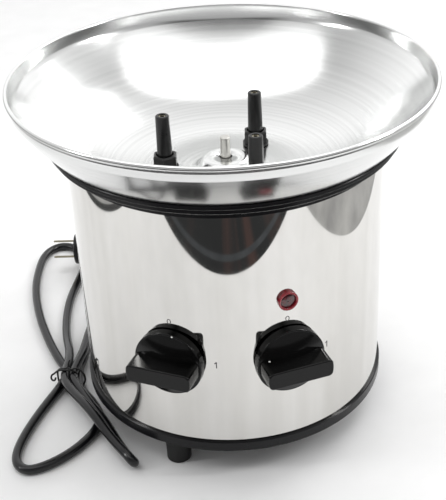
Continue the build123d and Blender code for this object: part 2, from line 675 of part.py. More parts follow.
def make_lead(name, points):
    """A loose stretch of cord, with its numbers printed for the build log."""
    cord = wire(points, CORD_RADIUS)
    radii = corner_radii(points)
    length = FilletPolyline(*points, radius=radii).length
    expected = math.pi * CORD_RADIUS ** 2 * length
    print(name, "length", round(length, 1), "volume ratio", round(cord.volume / expected, 4))
    print(name, "arc radii", [round(radius, 1) for radius in radii])
    return cord


def knot_place():
    """Frame at the rear end of the tied bundle: Z runs forward along it, Y up."""
    heading = Vector(*KNOT_HEADING, 0).normalized()
    return Plane(origin=(*KNOT_START, 0), x_dir=Vector(0, 0, 1).cross(heading), z_dir=heading)


def make_power_cord():
    start = (*polar(DRUM_RADIUS + GLAND_REACH, GLAND_ANGLE), GLAND_HEIGHT)
    end = (*KNOT_START, KNOT_TOP - CORD_RADIUS)
    return make_lead("power_cord", [start, *LEAD_TO_TIE, end])


def make_plug_lead():
    start = (*KNOT_START, KNOT_BOTTOM + CORD_RADIUS)
    tail_end = (PLUG_FACE[0] + PLUG_LENGTH + PLUG_TAIL, PLUG_FACE[1], PLUG_FACE[2])
    return make_lead("plug_lead", [start, *LEAD_TO_PLUG, tail_end])


def layer(outline, top):
    """One flat layer of the hank, as wide as the cord that bounds it."""
    face = make_face(Polyline(*outline, close=True))
    return extrude(offset(face, CORD_RADIUS, kind=Kind.ARC), top)


def make_cord_hank():
    """The tied coils as one closed body, filled between the strands."""
    half = KNOT_WIDTH / 2
    knot = knot_place() * block((-half, KNOT_BOTTOM, 0), (half, KNOT_TOP, KNOT_LENGTH))
    hank = knot + layer(BACK_LOOP, STRAND) + layer(FRONT_LOOP, STRAND) + layer(FRONT_FOLD, 2 * STRAND)
    behind = knot_place() * block((-half - 0.1, 0, -30), (7.5, KNOT_TOP + 3, 0))
    groove = knot_place() * block((-20, 0, TIE_AT - 1), (20, 20, TIE_AT + 1))
    return hank - behind - (groove - knot)


def make_twist_tie():
    """Flat wire tie round the bundle."""
    half = KNOT_WIDTH / 2
    outer = block(
        (-half - TIE_THICKNESS, KNOT_BOTTOM - TIE_THICKNESS, TIE_AT - 0.8),
        (half + TIE_THICKNESS, KNOT_TOP + TIE_THICKNESS, TIE_AT + 0.8),
    )
    inner = block((-half, KNOT_BOTTOM, TIE_AT - 1), (half, KNOT_TOP, TIE_AT + 1))
    return knot_place() * (outer - inner)


def make_cord_gland():
    """Moulded strain relief: collar, flange and tapered tail."""
    end = DRUM_RADIUS + GLAND_REACH
    gland = rod(6.0, DRUM_INSIDE - 12, DRUM_RADIUS + 0.1) - rod(7, 95.5, 96.4) + rod(5.0, 95, 97)
    gland += rod(8.0, DRUM_RADIUS + 0.1, DRUM_RADIUS + 2.6)
    tail = Solid.make_cone(5.4, 3.5, end - DRUM_RADIUS - 2.6, Plane(origin=(0, 0, DRUM_RADIUS + 2.6)))
    return on_drum(GLAND_ANGLE, GLAND_HEIGHT) * (gland + tail)


def plug_place():
    """Frame at the middle of the plug's face: Z runs back along the plug, Y across the blades."""
    roll = math.radians(PLUG_ROLL)
    across = Vector(0, math.sin(roll), math.cos(roll))
    return Plane(origin=PLUG_FACE, x_dir=across, z_dir=(1, 0, 0))


def make_plug_body():
    body = rod(PLUG_RADIUS, 0, PLUG_LENGTH)
    body = fillet(body.edges().group_by(Axis.Z)[-1], 5.0)
    body = fillet(body.edges().group_by(Axis.Z)[0], 1.5)
    body += Solid.make_cone(5.6, 4.2, PLUG_TAIL + 2, Plane(origin=(0, 0, PLUG_LENGTH - 2)))
    return plug_place().location * body


def make_plug_blades():
    parts = []
    for x in (-BLADE_SPACING / 2, BLADE_SPACING / 2):
        blade = block(
            (x - BLADE_THICKNESS / 2, -BLADE_WIDTH / 2, -BLADE_LENGTH),
            (x + BLADE_THICKNESS / 2, BLADE_WIDTH / 2, 0),
        )
        blade -= Pos(x, 0, -BLADE_LENGTH + 4) * Rot(0, 90, 0) * Cylinder(1.6, 4)
        parts.append(blade)
    return plug_place().location * group(parts)


# ---------------------------------------------------------------- all nodes
def build_nodes():
    nodes = {
        "base_pan": make_base_pan(),
        "foot_screws": make_foot_screws(),
        "drum_shell": make_drum(),
        "top_ring": make_top_ring(),
        "bowl": make_bowl(),
        "post_terminals": make_post_terminals(),
        "post_studs": make_post_studs(),
        "deck_nuts": make_deck_nuts(),
        "bowl_spacers": make_bowl_spacers(),
        "deck_plate": make_deck(),
        "leg_screws": make_leg_screws(),
        "motor_stator": make_stator(),
        "motor_coils": make_coils(),
        "motor_plate_lower": make_motor_plate(LOWER_PLATE, *LOWER_BOSS, LOWER_PLATE + 1, STATOR_BOTTOM),
        "motor_plate_upper": make_motor_plate(UPPER_PLATE, *UPPER_BOSS, STATOR_TOP, UPPER_PLATE + 1),
        "motor_bolts": make_motor_bolts(),
        "motor_mounts": make_motor_mounts(),
        "bearing_lower": make_bearing(LOWER_BOSS[0]),
        "bearing_upper": make_bearing(UPPER_BOSS[1] - BEARING_HEIGHT),
        "spindle": make_spindle(),
        "rotor": sleeve(ROTOR_RADIUS, SPINDLE_RADIUS, STATOR_BOTTOM + 1, STATOR_TOP - 1),
        "cooling_fan": make_fan(),
        "spindle_slinger": sleeve(SLINGER_RADIUS, SPINDLE_RADIUS, *SLINGER),
        "switch_nuts": make_switch_nuts(),
        "lamp_bezel": make_lamp_bezel(),
        "lamp_lens": make_lamp_lens(),
        "lamp_body": make_lamp_body(),
        "lamp_nut": make_lamp_nut(),
        "terminal_block": make_terminal_block(),
        "thermal_cutout": make_thermal_cutout(),
        "mains_lead": make_mains_lead(),
        "cord_gland": make_cord_gland(),
        "power_cord": make_power_cord(),
        "cord_hank": make_cord_hank(),
        "plug_lead": make_plug_lead(),
        "plug_body": make_plug_body(),
        "plug_blades": make_plug_blades(),
        "twist_tie": make_twist_tie(),
    }
    for name, angle in FOOT_ANGLES.items():
        nodes[name] = make_foot(angle)
    for number, angle in enumerate(POST_ANGLES, 1):
        nodes[f"heater_post_{number}"] = make_post(angle)
        nodes[f"post_collar_{number}"] = make_collar(angle)
    for number, angle in enumerate(LEG_ANGLES, 1):
        nodes[f"chassis_leg_{number}"] = make_leg(angle)
    for name, angle in KNOB_ANGLES.items():
        nodes[f"{name}_switch"] = make_switch(angle)
        nodes[f"{name}_switch_spindle"] = make_switch_spindle(angle)
        nodes[f"{name}_knob"] = make_knob(angle)
        nodes[f"{name}_harness"] = make_harness(name)
    return nodes


os.makedirs("parts", exist_ok=True)
for node_name, shape in build_nodes().items():
    export_step(shape, f"parts/{node_name}.step")
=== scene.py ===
"""Looks of the table-top cotton candy machine: camera, cord, sheet metal, materials and studio."""
import json
import math

import bmesh
import bpy
from mathutils import Matrix, Vector


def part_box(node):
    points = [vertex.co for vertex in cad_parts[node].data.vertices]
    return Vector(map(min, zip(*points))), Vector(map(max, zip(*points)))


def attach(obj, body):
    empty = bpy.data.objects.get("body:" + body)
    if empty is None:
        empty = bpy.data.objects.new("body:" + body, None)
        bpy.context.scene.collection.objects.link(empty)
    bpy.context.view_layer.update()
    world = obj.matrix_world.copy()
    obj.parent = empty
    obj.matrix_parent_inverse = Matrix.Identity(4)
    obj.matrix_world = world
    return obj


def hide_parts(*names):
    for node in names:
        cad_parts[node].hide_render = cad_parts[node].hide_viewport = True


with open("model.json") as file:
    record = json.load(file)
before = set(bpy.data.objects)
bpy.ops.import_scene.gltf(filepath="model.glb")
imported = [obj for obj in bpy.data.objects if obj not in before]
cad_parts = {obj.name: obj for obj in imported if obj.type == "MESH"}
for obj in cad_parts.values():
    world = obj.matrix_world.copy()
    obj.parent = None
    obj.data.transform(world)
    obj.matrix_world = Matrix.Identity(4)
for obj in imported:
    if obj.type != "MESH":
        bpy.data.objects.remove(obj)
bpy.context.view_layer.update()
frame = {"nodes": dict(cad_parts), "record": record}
NODES = frame["nodes"]
MM = 0.001

DRUM_LOW, DRUM_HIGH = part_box("drum_shell")
DRUM_RADIUS = DRUM_HIGH[0] / MM
KNOB_HEIGHT = (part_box("motor_knob")[0][2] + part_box("motor_knob")[1][2]) / 2 / MM
KNOB_ANGLES = {"motor": -110.6, "heat": -69.4}
DOT_PLACES = {"motor": (4.0, 6.0, 20.2), "heat": (-15.2, 8.8, 5.75)}   # round the drum, outward, up
CORD_DIAMETER = 6.3 * MM
TIE_DIAMETER = 1.3 * MM
SHEET = 0.8                     # thickness of the bowl's and the drum's metal
CAMERA_PLACE = (18.9, -621.4, 472.6)

# Where the pale sheet under the machine ends, and how far the table round it goes, in metres.
SHEET_FRONT = -0.335
SHEET_RIGHT = 0.337
SHEET_LEFT = -0.395
TABLE_REACH = 2.5
TABLE_BACK = 1.5


# ---------------------------------------------------------------- camera
def add_camera():
    """Looks down at the machine from the front, slightly rolled."""
    heading = math.radians(-0.94)
    pitch = math.radians(-31.24)
    roll = math.radians(-2.08)
    level = Vector((math.sin(heading), math.cos(heading), 0))
    forward = level * math.cos(pitch) + Vector((0, 0, math.sin(pitch)))
    level_right = forward.cross(Vector((0, 0, 1))).normalized()
    level_up = level_right.cross(forward)
    right = math.cos(roll) * level_right + math.sin(roll) * level_up
    up = -math.sin(roll) * level_right + math.cos(roll) * level_up
    camera = bpy.data.objects.new("camera", bpy.data.cameras.new("camera"))
    bpy.context.scene.collection.objects.link(camera)
    turn = Matrix((right, up, -forward)).transposed().to_4x4()
    camera.matrix_world = Matrix.Translation(Vector(CAMERA_PLACE) * MM) @ turn
    camera.data.sensor_width = 36
    camera.data.lens = 78.9
    camera.data.shift_x = -0.041
    camera.data.shift_y = 0.025
    camera.data.clip_start = 0.01
    bpy.context.scene.camera = camera


# ---------------------------------------------------------------- mesh helpers
def add_mesh(name, verts, faces, smooth=True):
    mesh = bpy.data.meshes.new(name)
    mesh.from_pydata([tuple(v) for v in verts], [], faces)
    mesh.validate()
    for polygon in mesh.polygons:
        polygon.use_smooth = smooth
    piece = bpy.data.objects.new(name, mesh)
    bpy.context.scene.collection.objects.link(piece)
    return piece


def turned(name, profile, segments=256):
    """A ring-shaped piece from a closed outline of (radius, height), in millimetres."""
    verts = []
    faces = []
    count = len(profile)
    for step in range(segments):
        angle = 2 * math.pi * step / segments
        for radius, height in profile:
            verts.append((radius * MM * math.cos(angle), radius * MM * math.sin(angle), height * MM))
    for step in range(segments):
        here = step * count
        there = ((step + 1) % segments) * count
        for k in range(count):
            after = (k + 1) % count
            faces.append((here + k, there + k, there + after, here + after))
    return add_mesh(name, verts, faces)


def arc(centre, radius, start, end, steps):
    """Points round an arc in the (radius, height) plane, angles in degrees."""
    points = []
    for k in range(steps + 1):
        turn = math.radians(start + (end - start) * k / steps)
        points.append((centre[0] + radius * math.cos(turn), centre[1] + radius * math.sin(turn)))
    return points


def on_drum(angle):
    """Axes on the drum's side: outward, around and up."""
    turn = math.radians(angle)
    outward = Vector((math.cos(turn), math.sin(turn), 0))
    around = Vector((-math.sin(turn), math.cos(turn), 0))
    return outward, around, Vector((0, 0, 1))


# ---------------------------------------------------------------- cord
# One strand from the gland through the short fold, the rear loop and the front loop to the plug. The two
# leads keep most of the solids' points. The solids' loops are flat outlines in layers round a solid knot,
# which this strand follows only roughly, as it has to pass through the knot four times.
TO_TIE = [
    (-50.2, 107.6, 44.0), (-56.5, 121.2, 44.0), (-69.0, 132.0, 36.0), (-84.0, 131.0, 25.0),
    (-96.0, 120.0, 16.5), (-102.5, 104.0, 12.2), (-105.5, 85.0, 10.2), (-107.0, 64.0, 9.9),
    (-108.5, 44.0, 10.4), (-109.4, 24.0, 10.65), (-111.9, 9.7, 10.65), (-114.2, -6.0, 10.65),
]
FOLD = [
    (-108.5, -19.0, 10.4), (-99.5, -34.0, 9.8), (-91.0, -47.5, 9.6), (-84.0, -58.5, 8.4),
    (-77.5, -69.5, 5.2), (-71.5, -79.0, 3.3), (-67.0, -86.0, 3.2), (-63.5, -91.0, 3.8),
    (-64.5, -93.5, 7.8), (-69.0, -88.5, 9.7), (-75.5, -79.5, 9.8), (-83.0, -68.5, 10.8),
    (-91.5, -55.5, 13.2), (-100.5, -41.5, 13.6), (-109.5, -28.0, 12.2), (-117.0, -15.0, 11.2),
    (-119.5, -5.0, 10.8), (-118.2, 10.7, 10.65),
]
REAR_LOOP = [
    (-120.5, 28.0, 8.4), (-126.0, 49.0, 4.6), (-130.0, 75.0, 3.2), (-131.0, 103.0, 3.2),
    (-128.0, 129.0, 3.2), (-125.0, 152.0, 3.2), (-127.0, 172.0, 3.2), (-138.0, 186.0, 3.2),
    (-152.0, 188.0, 3.2), (-162.0, 174.0, 3.2), (-163.0, 145.0, 3.2), (-160.5, 117.0, 3.2),
    (-152.0, 82.0, 3.2), (-140.0, 49.0, 3.2), (-127.0, 20.0, 3.8), (-118.6, 8.0, 4.35),
]
FRONT_LOOP = [
    (-121.5, -8.0, 4.2), (-130.5, -30.0, 3.2), (-138.0, -55.0, 3.2), (-141.5, -75.0, 3.2),
    (-140.0, -88.0, 3.2), (-133.0, -95.0, 3.2), (-124.0, -93.0, 3.2), (-112.0, -85.0, 3.2),
    (-101.0, -73.0, 3.2), (-92.7, -58.5, 3.2), (-90.0, -44.0, 3.2), (-97.0, -28.0, 3.2),
    (-108.5, -12.0, 3.8), (-112.0, 9.7, 4.35),
]
TO_PLUG = [
    (-109.8, 24.0, 4.35), (-108.5, 44.0, 4.1), (-107.0, 64.0, 3.4), (-105.0, 84.0, 3.25),
    (-99.0, 101.0, 3.2), (-86.0, 112.5, 3.25), (-68.0, 114.5, 3.2), (-49.0, 113.5, 3.25),
    (-31.0, 117.5, 3.2), (-19.0, 130.5, 3.3), (-20.0, 148.0, 4.0), (-33.5, 159.0, 7.0),
    (-50.5, 158.0, 12.5), (-68.0, 155.0, 19.5), (-83.5, 155.0, 19.5),
]


def add_curve(name, points, diameter):
    """A round cord or wire along a smooth spline, its points in millimetres.

    The points' radius carries the real thickness, so that the curve's own box is no wider than the tube.
    """
    curve = bpy.data.curves.new(name, "CURVE")
    curve.dimensions = "3D"
    curve.bevel_depth = 1.0
    curve.bevel_resolution = 8
    curve.resolution_u = 12
    curve.use_fill_caps = True
    spline = curve.splines.new("NURBS")
    spline.points.add(len(points) - 1)
    for control, point in zip(spline.points, points):
        control.co = (point[0] * MM, point[1] * MM, point[2] * MM, 1)
        control.radius = diameter / 2
    spline.order_u = 3
    spline.use_endpoint_u = True
    piece = bpy.data.objects.new(name, curve)
    bpy.context.scene.collection.objects.link(piece)
    return piece


def add_cord():
    route = TO_TIE + FOLD + REAR_LOOP + FRONT_LOOP + TO_PLUG
    cord = add_curve("mains_cord", route, CORD_DIAMETER)
    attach(cord, "machine")
    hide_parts("power_cord", "cord_hank", "plug_lead")
    return cord


add_camera()
mains_cord = add_cord()


# ---------------------------------------------------------------- materials
GRAIN_DEPTH = 0.0001


def new_material(name):
    material = bpy.data.materials.new(name)
    material.use_nodes = True
    return material, material.node_tree.nodes, material.node_tree.links


def add_noise(nodes, links, scale, stretch=(1, 1, 1), detail=5.0):
    """Noise in the object's own space, stretched along its axes."""
    place = nodes.new("ShaderNodeTexCoord")
    mapping = nodes.new("ShaderNodeMapping")
    mapping.inputs["Scale"].default_value = stretch
    noise = nodes.new("ShaderNodeTexNoise")
    noise.inputs["Scale"].default_value = scale
    noise.inputs["Detail"].default_value = detail
    links.new(place.outputs["Object"], mapping.inputs["Vector"])
    links.new(mapping.outputs["Vector"], noise.inputs["Vector"])
    return noise.outputs["Fac"]


def add_ramp(nodes, links, source, low, high, start=0.3, end=0.7):
    """Maps a texture to a range of values."""
    ramp = nodes.new("ShaderNodeMapRange")
    ramp.inputs["From Min"].default_value = start
    ramp.inputs["From Max"].default_value = end
    ramp.inputs["To Min"].default_value = low
    ramp.inputs["To Max"].default_value = high
    links.new(source, ramp.inputs["Value"])
    return ramp.outputs["Result"]


def add_colours(nodes, links, source, dark, light, start=0.3, end=0.7):
    """Maps a texture to a blend of two colours."""
    ramp = nodes.new("ShaderNodeValToRGB")
    ramp.color_ramp.elements[0].position = start
    ramp.color_ramp.elements[1].position = end
    ramp.color_ramp.elements[0].color = (*dark, 1)
    ramp.color_ramp.elements[1].color = (*light, 1)
    links.new(source, ramp.inputs["Fac"])
    return ramp.outputs["Color"]


def add_bump(nodes, links, height, strength, distance):
    bump = nodes.new("ShaderNodeBump")
    bump.inputs["Strength"].default_value = strength
    bump.inputs["Distance"].default_value = distance
    links.new(height, bump.inputs["Height"])
    return bump.outputs["Normal"]


def surface(name, dark, light, rough, metallic=0.0, scale=900.0, stretch=(1, 1, 1), bump=0.1, patches=25.0,
            specular=0.5):
    """A general finish: blotches of colour, uneven gloss and a fine grain."""
    material, nodes, links = new_material(name)
    shader = nodes["Principled BSDF"]
    shader.inputs["Metallic"].default_value = metallic
    shader.inputs["Specular IOR Level"].default_value = specular
    broad = add_noise(nodes, links, patches)
    fine = add_noise(nodes, links, scale, stretch)
    links.new(add_colours(nodes, links, broad, dark, light), shader.inputs["Base Color"])
    links.new(add_ramp(nodes, links, broad, rough[0], rough[1]), shader.inputs["Roughness"])
    links.new(add_bump(nodes, links, fine, bump, GRAIN_DEPTH), shader.inputs["Normal"])
    return material


def spun_metal(name, dark, light, rough, ring_scale, ring_bump, anisotropic):
    """Sheet finished on a lathe: fine rings about the machine's axis."""
    material, nodes, links = new_material(name)
    shader = nodes["Principled BSDF"]
    shader.inputs["Metallic"].default_value = 1.0
    shader.inputs["Anisotropic"].default_value = anisotropic
    place = nodes.new("ShaderNodeTexCoord")
    flat = nodes.new("ShaderNodeVectorMath")
    flat.operation = "MULTIPLY"
    flat.inputs[1].default_value = (1, 1, 0)
    length = nodes.new("ShaderNodeVectorMath")
    length.operation = "LENGTH"
    rings = nodes.new("ShaderNodeTexNoise")
    rings.noise_dimensions = "1D"
    rings.inputs["Scale"].default_value = ring_scale
    rings.inputs["Detail"].default_value = 6.0
    links.new(place.outputs["Object"], flat.inputs[0])
    links.new(flat.outputs["Vector"], length.inputs[0])
    links.new(length.outputs["Value"], rings.inputs["W"])
    tangent = nodes.new("ShaderNodeTangent")
    tangent.direction_type = "RADIAL"
    tangent.axis = "Z"
    links.new(tangent.outputs["Tangent"], shader.inputs["Tangent"])
    broad = add_noise(nodes, links, 14.0)
    links.new(add_colours(nodes, links, rings.outputs["Fac"], dark, light), shader.inputs["Base Color"])
    links.new(add_ramp(nodes, links, broad, rough[0], rough[1]), shader.inputs["Roughness"])
    links.new(add_bump(nodes, links, rings.outputs["Fac"], ring_bump, 0.0002), shader.inputs["Normal"])
    return material


def lens_material(name, dark, light, depth):
    """Clear red plastic with a moulded facet pattern."""
    material, nodes, links = new_material(name)
    shader = nodes["Principled BSDF"]
    shader.inputs["Coat Weight"].default_value = 1.0
    shader.inputs["Coat Roughness"].default_value = 0.03
    shader.inputs["IOR"].default_value = 1.49
    shader.inputs["Roughness"].default_value = 0.12
    cells = nodes.new("ShaderNodeTexVoronoi")
    cells.inputs["Scale"].default_value = 700.0
    place = nodes.new("ShaderNodeTexCoord")
    links.new(place.outputs["Object"], cells.inputs["Vector"])
    facets = cells.outputs["Distance"]
    links.new(add_colours(nodes, links, facets, light, dark, 0.0, 0.8), shader.inputs["Base Color"])
    links.new(add_bump(nodes, links, facets, depth, 0.0003), shader.inputs["Normal"])
    return material


def mirror_sheet(name):
    """Polished sheet: faint upright streaks and a slight unevenness in the mirror."""
    material, nodes, links = new_material(name)
    shader = nodes["Principled BSDF"]
    shader.inputs["Metallic"].default_value = 1.0
    streaks = add_noise(nodes, links, 60.0, (1, 1, 0.06), 4.0)
    clouds = add_noise(nodes, links, 18.0)
    waves = add_noise(nodes, links, 22.0, (1, 1, 0.5), 1.0)
    colour = add_colours(nodes, links, streaks, (0.64, 0.63, 0.605), (0.72, 0.71, 0.69))
    links.new(colour, shader.inputs["Base Color"])
    links.new(add_ramp(nodes, links, clouds, 0.02, 0.07), shader.inputs["Roughness"])
    links.new(add_bump(nodes, links, waves, 0.12, 0.0006), shader.inputs["Normal"])
    return material


MATERIALS = {
    "polished_steel": mirror_sheet("polished_steel"),
    "spun_aluminium": spun_metal(
        "spun_aluminium", (0.74, 0.745, 0.74), (0.81, 0.815, 0.81), (0.15, 0.21), 500, 0.025, 0.25),
    "black_trim": surface(
        "black_trim", (0.004, 0.004, 0.005), (0.009, 0.009, 0.010), (0.2, 0.3), bump=0.04, specular=0.25),
    "black_knob": surface(
        "black_knob", (0.002, 0.002, 0.002), (0.004, 0.004, 0.004), (0.10, 0.16), bump=0.02, specular=0.25),
    "black_phenolic": surface(
        "black_phenolic", (0.003, 0.003, 0.003), (0.010, 0.010, 0.010), (0.22, 0.36), bump=0.08,
        specular=0.3),
    "ground_steel": surface(
        "ground_steel", (0.50, 0.49, 0.46), (0.68, 0.67, 0.64), (0.3, 0.45), 1.0, 500, (1, 1, 12), 0.25),
    "zinc_steel": surface(
        "zinc_steel", (0.45, 0.46, 0.46), (0.62, 0.63, 0.62), (0.28, 0.42), 1.0, 700, bump=0.15),
    "brass": surface("brass", (0.36, 0.33, 0.24), (0.52, 0.48, 0.37), (0.25, 0.4), 1.0, 700, bump=0.12),
    "rubber": surface(
        "rubber", (0.006, 0.006, 0.006), (0.014, 0.014, 0.014), (0.45, 0.6), bump=0.2, specular=0.3),
    "cord_black": surface(
        "cord_black", (0.002, 0.002, 0.003), (0.006, 0.006, 0.007), (0.16, 0.28), bump=0.08, patches=60,
        specular=0.45),
    "red_lens": lens_material("red_lens", (0.03, 0.0, 0.002), (0.12, 0.001, 0.006), 0.35),
    # The bezel's red is the lens plastic made brighter: painted highlight, the light its ring catches along
    # the upper left, spread over the whole ring.
    "red_bezel_painted_highlight": lens_material("red_bezel_painted_highlight", (0.22, 0.002, 0.010), (0.34, 0.003, 0.016), 0.02),
    "varnished_wire": surface(
        "varnished_wire", (0.30, 0.10, 0.03), (0.52, 0.20, 0.06), (0.3, 0.5), 0.4, 900, (1, 1, 4), 0.5),
    "wire_jacket": surface("wire_jacket", (0.55, 0.55, 0.52), (0.72, 0.72, 0.69), (0.4, 0.5), bump=0.05),
    "tie_black": surface(
        "tie_black", (0.003, 0.003, 0.003), (0.009, 0.009, 0.009), (0.3, 0.42), bump=0.1, specular=0.35),
    "cast_plate": surface(
        "cast_plate", (0.45, 0.46, 0.47), (0.60, 0.61, 0.62), (0.4, 0.55), 1.0, 350, bump=0.5),
    "print_ink": surface("print_ink", (0.10, 0.10, 0.10), (0.16, 0.16, 0.16), (0.5, 0.6), bump=0.02),
    "white_paint": surface("white_paint", (0.80, 0.80, 0.78), (0.88, 0.88, 0.86), (0.4, 0.5), bump=0.05),
}


def dress(piece, name):
    piece.data.materials.clear()
    piece.data.materials.append(MATERIALS[name])


def dress_cad_nodes():
    """Gives every carried-over part the finish of its slot."""
    for part in frame["record"]["subparts"]:
        dress(NODES[part["node"]], part["material_slot"])


# ---------------------------------------------------------------- sheet metal
def add_bowl():
    """The spun bowl, finely divided: raised middle, round wall, rim band and turned-over lip."""
    wall_centre = (38.0, 261.3)
    wall_radius = 95.6
    outside = arc(wall_centre, wall_radius, -90, -42, 40)
    inside = arc(wall_centre, wall_radius - SHEET, -42, -90, 40)
    upper = bowed(outside[-1], (127.2, 220.4), 0.45, 14)
    upper_in = bowed((126.5, 221.2), inside[0], -0.45, 14)
    band = [(127.45, 220.75), (127.65, 221.2), (127.78, 221.6), (128.75, 225.6), (128.85, 226.2)]
    lip = [
        (128.5, 226.7), (128.9, 227.0), (129.5, 227.2), (129.9, 227.9), (130.0, 228.6), (129.7, 229.4),
        (129.1, 229.9), (128.4, 230.0), (127.95, 229.7), (127.75, 229.0), (127.6, 228.0), (126.95, 222.6),
    ]
    boss_out = [
        (22.4, 166.5), (20.5, 166.8), (18.3, 168.4), (16.0, 171.2), (14.6, 172.8), (13.4, 173.7),
        (12.0, 174.0),
    ]
    boss_in = [
        (4.2, 174.0), (4.2, 173.2), (11.6, 173.2), (13.9, 172.1), (17.6, 168.0), (20.0, 166.0), (22.0, 165.7),
    ]
    floor_edge = [(38.0, 165.7)]
    profile = outside[1:] + upper[1:] + band + lip + upper_in + inside[1:] + boss_out + boss_in + floor_edge
    bowl = turned("bowl_skin", profile, 320)
    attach(bowl, "machine")
    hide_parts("bowl")
    dress(bowl, "spun_aluminium")


def bowed(start, end, bulge, steps):
    """A slightly bowed line of points from start to end."""
    along = Vector(end) - Vector(start)
    outward = Vector((along.y, -along.x)).normalized()
    points = []
    for k in range(steps + 1):
        t = k / steps
        points.append(tuple(Vector(start) + along * t + outward * bulge * 4 * t * (1 - t)))
    return points


def add_drum():
    """The mirror sleeve, finely divided so that its reflections are smooth."""
    low, high = DRUM_LOW[2] / MM, DRUM_HIGH[2] / MM
    outer, inner = DRUM_RADIUS, DRUM_RADIUS - SHEET
    profile = [
        (outer - 0.2, low), (outer - 0.03, low + 0.05), (outer, low + 0.2), (outer, low + 0.5),
        (outer, high - 0.5), (outer, high - 0.2), (outer - 0.03, high - 0.05), (outer - 0.2, high),
        (inner + 0.2, high), (inner + 0.03, high - 0.05), (inner, high - 0.2), (inner, high - 0.5),
        (inner, low + 0.5), (inner, low + 0.2), (inner + 0.03, low + 0.05), (inner + 0.2, low),
    ]
    drum = turned("drum_skin", profile, 384)
    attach(drum, "machine")
    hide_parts("drum_shell")
    dress(drum, "polished_steel")


# ---------------------------------------------------------------- twist tie
# Across the bundle, up from the table, and forward along the bundle.
TIE_WRAP = [
    (1.6, 20.5, -3.0), (0.6, 18.5, -1.4), (0.9, 16.2, -0.6), (-1.5, 14.6, 0.0), (-5.2, 14.5, 0.2),
    (-7.3, 12.6, 0.4), (-7.5, 7.5, 0.5), (-7.3, 2.5, 0.5), (-5.5, 0.8, 0.6), (0.0, 0.65, 0.7),
    (5.5, 0.8, 0.8), (7.3, 2.5, 0.9), (7.5, 7.5, 1.0), (7.2, 12.6, 1.1), (5.0, 14.6, 1.3),
    (0.0, 14.7, 1.6), (-5.2, 14.6, 1.9), (-7.6, 13.0, 2.2), (-9.0, 11.6, 2.6), (-10.9, 10.6, 3.2),
    (-11.6, 8.2, 3.6), (-10.4, 6.0, 3.6), (-8.6, 6.4, 3.2), (-8.4, 8.2, 2.6),
]
TIE_TAIL = [
    (-0.6, 15.2, -0.8), (1.5, 16.2, 0.6), (3.4, 15.3, 1.6), (5.6, 16.2, 0.4), (8.6, 15.4, 0.0),
    (11.6, 13.2, 0.8), (13.2, 10.0, 1.8), (13.0, 6.6, 2.8), (11.6, 4.6, 3.4),
]


def add_tie():
    """Plastic-covered wire wound round the bundle, its ends twisted and curled."""
    low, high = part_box("twist_tie")
    forward = Vector((-3.5, -20.0, 0)).normalized()
    across = Vector((0, 0, 1)).cross(forward)
    origin = Vector(((low[0] + high[0]) / 2, (low[1] + high[1]) / 2, 0)) / MM
    for name, route in (("tie_wrap", TIE_WRAP), ("tie_tail", TIE_TAIL)):
        points = [origin + across * u + Vector((0, 0, v)) + forward * w for u, v, w in route]
        wire = add_curve(name, points, TIE_DIAMETER)
        wire.data.resolution_u = 8
        wire.data.bevel_resolution = 4
        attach(wire, "machine")
        dress(wire, "tie_black")
        if name == "tie_wrap":
            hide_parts("twist_tie")


# ---------------------------------------------------------------- small marks
def facing(angle, radius, height):
    """Puts a flat mark on the drum or a knob: X round the drum, Y up, Z outward."""
    outward, around, up = on_drum(angle)
    turn = Matrix((around, up, outward)).transposed().to_4x4()
    return Matrix.Translation(outward * radius * MM + up * height * MM) @ turn


def add_ring_mark(name, width, height, stroke, place):
    """A printed nought: an oval ring lying flat."""
    verts = []
    steps = 32
    for step in range(steps):
        turn = 2 * math.pi * step / steps
        for inset in (0, stroke):
            x = (width / 2 - inset) * math.cos(turn)
            y = (height / 2 - inset) * math.sin(turn)
            verts.append(place @ (Vector((x, y, 0)) * MM))
    faces = [(2 * k, 2 * ((k + 1) % steps), 2 * ((k + 1) % steps) + 1, 2 * k + 1) for k in range(steps)]
    return add_mesh(name, verts, faces, smooth=False)


def add_one_mark(name, height, stroke, place):
    """A printed figure one: an upright stroke with a short flag."""
    half = height / 2
    outline = [
        (stroke / 2, -half), (stroke / 2, half), (-stroke / 2, half), (-stroke * 1.9, half - stroke * 1.3),
        (-stroke * 1.9, half - stroke * 2.3), (-stroke / 2, half - stroke * 1.4), (-stroke / 2, -half),
    ]
    verts = [place @ (Vector((x, y, 0)) * MM) for x, y in outline]
    return add_mesh(name, verts, [(0, 1, 2, 5, 6), (2, 3, 4, 5)], smooth=False)


def add_dot(name, radius, place):
    """A small filled paint dot, slightly domed, its edge sunk a little into the knob."""
    dome = 0.15
    sunk = 0.02
    rings = 4
    sides = 20
    dot = bmesh.new()
    top = dot.verts.new(place @ (Vector((0, 0, dome)) * MM))
    last = None
    for ring in range(1, rings + 1):
        reach = radius * ring / rings
        lift = dome * (1 - (ring / rings) ** 2) - sunk
        row = []
        for step in range(sides):
            turn = 2 * math.pi * step / sides
            point = Vector((reach * math.cos(turn), reach * math.sin(turn), lift))
            row.append(dot.verts.new(place @ (point * MM)))
        for k in range(sides):
            after = (k + 1) % sides
            if last is None:
                dot.faces.new((top, row[k], row[after]))
            else:
                dot.faces.new((last[k], row[k], row[after], last[after]))
        last = row
    mesh = bpy.data.meshes.new(name)
    dot.to_mesh(mesh)
    dot.free()
    piece = bpy.data.objects.new(name, mesh)
    bpy.context.scene.collection.objects.link(piece)
    return piece


